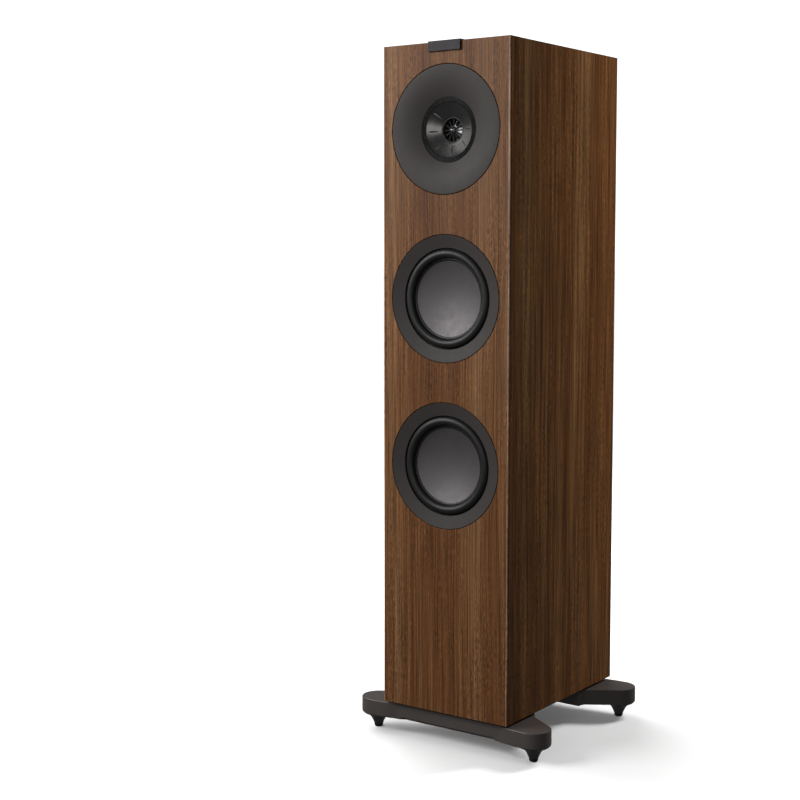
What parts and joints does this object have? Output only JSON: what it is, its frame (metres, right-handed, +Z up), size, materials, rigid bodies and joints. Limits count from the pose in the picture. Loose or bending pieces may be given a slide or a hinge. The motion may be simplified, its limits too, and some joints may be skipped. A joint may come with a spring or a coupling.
{
  "type": "floorstanding speaker",
  "caption": "Slim floorstanding speaker: a veneered tower with metal-coned drivers and a finned tweeter, on two dark crossbars with levelling feet.",
  "frame": {"origin": "on the floor at the middle of the outline seen from above", "axes": "+Z up, the front with its drivers faces -Y, +X to the right seen from the front"},
  "size_m": [0.3166, 0.3234, 0.9934],
  "materials": {
    "walnut": "satin walnut veneer",
    "board": "raw fibreboard",
    "wadding": "soft polyester wadding",
    "satin_black": "satin moulded",
    "trim_grey": "matt moulded",
    "chassis_grey": "cast and painted",
    "black_rubber": "matt rubber",
    "cone_aluminium": "satin anodised",
    "coil_copper": "enamelled copper",
    "spider_cloth": "resin-stiffened cloth",
    "motor_steel": "zinc-plated steel",
    "magnet_dark": "ferrite",
    "black_steel": "blackened steel",
    "board_green": "lacquered board",
    "capacitor_blue": "film sleeve",
    "lead_red": "soft sleeve",
    "gold_plated": "gold-plated brass",
    "knob_red": "moulded",
    "plinth_grey": "fine textured paint",
    "foot_steel": "satin"
  },
  "bodies": {
    "cabinet": {"front_baffle": "walnut", "left_side": "walnut", "right_side": "walnut", "top_panel": "walnut", "bottom_panel": "walnut", "back_panel": "walnut", "shelf_and_braces": "board", "wadding": "wadding", "badge": "satin_black", "woofer_trim_rings": "trim_grey", "woofer_chassis": "chassis_grey", "upper_woofer_surround": "black_rubber", "lower_woofer_surround": "black_rubber", "woofer_spiders": "spider_cloth", "woofer_top_plates": "motor_steel", "woofer_magnets": "magnet_dark", "woofer_pole_plates": "motor_steel", "mid_flare": "trim_grey", "mid_chassis": "chassis_grey", "mid_surround": "black_rubber", "mid_spider": "spider_cloth", "mid_top_plate": "motor_steel", "mid_magnet": "magnet_dark", "mid_pole_plate": "motor_steel", "tweeter_waveguide": "satin_black", "tweeter_surround": "black_rubber", "tweeter_housing": "motor_steel", "tweeter_motor": "magnet_dark", "wood_screws": "black_steel", "lower_port": "satin_black", "upper_port": "satin_black", "crossover_board": "board_green", "crossover_coils": "coil_copper", "crossover_capacitors": "capacitor_blue", "speaker_wires": "lead_red", "terminal_plate": "satin_black", "binding_posts": "gold_plated", "plinth_front": "plinth_grey", "plinth_rear": "plinth_grey", "plinth_gaskets": "black_rubber", "plinth_bolts": "black_steel"},
    "upper_woofer": {"upper_woofer_cone": "cone_aluminium", "upper_woofer_voice_coil": "coil_copper"},
    "lower_woofer": {"lower_woofer_cone": "cone_aluminium", "lower_woofer_voice_coil": "coil_copper"},
    "midrange": {"mid_cone": "cone_aluminium", "mid_voice_coil": "coil_copper"},
    "tweeter": {"tweeter_dome": "cone_aluminium"},
    "washer_red": {"clamp_washer_red": "gold_plated"},
    "terminal_knob_red": {"knob_red": "knob_red"},
    "washer_black": {"clamp_washer_black": "gold_plated"},
    "terminal_knob_black": {"knob_black": "satin_black"},
    "tip_front_left": {"foot_tip_front_left": "black_rubber"},
    "stud_front_left": {"foot_front_left": "foot_steel"},
    "tip_front_right": {"foot_tip_front_right": "black_rubber"},
    "stud_front_right": {"foot_front_right": "foot_steel"},
    "tip_rear_left": {"foot_tip_rear_left": "black_rubber"},
    "stud_rear_left": {"foot_rear_left": "foot_steel"},
    "tip_rear_right": {"foot_tip_rear_right": "black_rubber"},
    "stud_rear_right": {"foot_rear_right": "foot_steel"}
  },
  "joints": [
    {"name": "upper_woofer_travel", "type": "slide", "parent": "cabinet", "child": "upper_woofer", "axis": [0, 1, 0], "range_m": [-0.005, 0.005], "stiffness_N_per_m": 1000, "deforming": ["upper_woofer_surround", "woofer_spiders"]},
    {"name": "lower_woofer_travel", "type": "slide", "parent": "cabinet", "child": "lower_woofer", "axis": [0, 1, 0], "range_m": [-0.005, 0.005], "stiffness_N_per_m": 1000, "deforming": ["lower_woofer_surround", "woofer_spiders"]},
    {"name": "midrange_travel", "type": "slide", "parent": "cabinet", "child": "midrange", "axis": [0, 1, 0], "range_m": [-0.0015, 0.0015], "stiffness_N_per_m": 1500, "deforming": ["mid_surround", "mid_spider"]},
    {"name": "tweeter_travel", "type": "slide", "parent": "cabinet", "child": "tweeter", "axis": [0, 1, 0], "range_m": [-0.0004, 0.0004], "stiffness_N_per_m": 2000, "deforming": ["tweeter_surround"]},
    {"name": "red_knob_travel", "type": "slide", "parent": "cabinet", "child": "washer_red", "axis": [0, 1, 0], "range_m": [0, 0.004]},
    {"name": "red_knob_turn", "type": "hinge", "parent": "washer_red", "child": "terminal_knob_red", "pos_m": [0.019, 0.14565, 0.18], "axis": [0, 1, 0], "range_deg": [0, 1440]},
    {"name": "black_knob_travel", "type": "slide", "parent": "cabinet", "child": "washer_black", "axis": [0, 1, 0], "range_m": [0, 0.004]},
    {"name": "black_knob_turn", "type": "hinge", "parent": "washer_black", "child": "terminal_knob_black", "pos_m": [-0.019, 0.14565, 0.18], "axis": [0, 1, 0], "range_deg": [0, 1440]},
    {"name": "foot_front_left_travel", "type": "slide", "parent": "cabinet", "child": "tip_front_left", "axis": [0, 0, 1], "range_m": [-0.008, 0]},
    {"name": "foot_front_left_turn", "type": "hinge", "parent": "tip_front_left", "child": "stud_front_left", "pos_m": [-0.1337, -0.13235, 0], "axis": [0, 0, 1], "range_deg": [-2304, 0]},
    {"name": "foot_front_right_travel", "type": "slide", "parent": "cabinet", "child": "tip_front_right", "axis": [0, 0, 1], "range_m": [-0.008, 0]},
    {"name": "foot_front_right_turn", "type": "hinge", "parent": "tip_front_right", "child": "stud_front_right", "pos_m": [0.1337, -0.13235, 0], "axis": [0, 0, 1], "range_deg": [-2304, 0]},
    {"name": "foot_rear_left_travel", "type": "slide", "parent": "cabinet", "child": "tip_rear_left", "axis": [0, 0, 1], "range_m": [-0.008, 0]},
    {"name": "foot_rear_left_turn", "type": "hinge", "parent": "tip_rear_left", "child": "stud_rear_left", "pos_m": [-0.1337, 0.11965, 0], "axis": [0, 0, 1], "range_deg": [-2304, 0]},
    {"name": "foot_rear_right_travel", "type": "slide", "parent": "cabinet", "child": "tip_rear_right", "axis": [0, 0, 1], "range_m": [-0.008, 0]},
    {"name": "foot_rear_right_turn", "type": "hinge", "parent": "tip_rear_right", "child": "stud_rear_right", "pos_m": [0.1337, 0.11965, 0], "axis": [0, 0, 1], "range_deg": [-2304, 0]}
  ],
  "couplings": [
    {"joint": "red_knob_turn", "follows": "red_knob_travel", "rad_per_m": 6283},
    {"joint": "black_knob_turn", "follows": "black_knob_travel", "rad_per_m": 6283},
    {"joint": "foot_front_left_turn", "follows": "foot_front_left_travel", "rad_per_m": 5026.5},
    {"joint": "foot_front_right_turn", "follows": "foot_front_right_travel", "rad_per_m": 5026.5},
    {"joint": "foot_rear_left_turn", "follows": "foot_rear_left_travel", "rad_per_m": 5026.5},
    {"joint": "foot_rear_right_turn", "follows": "foot_rear_right_travel", "rad_per_m": 5026.5}
  ]
}
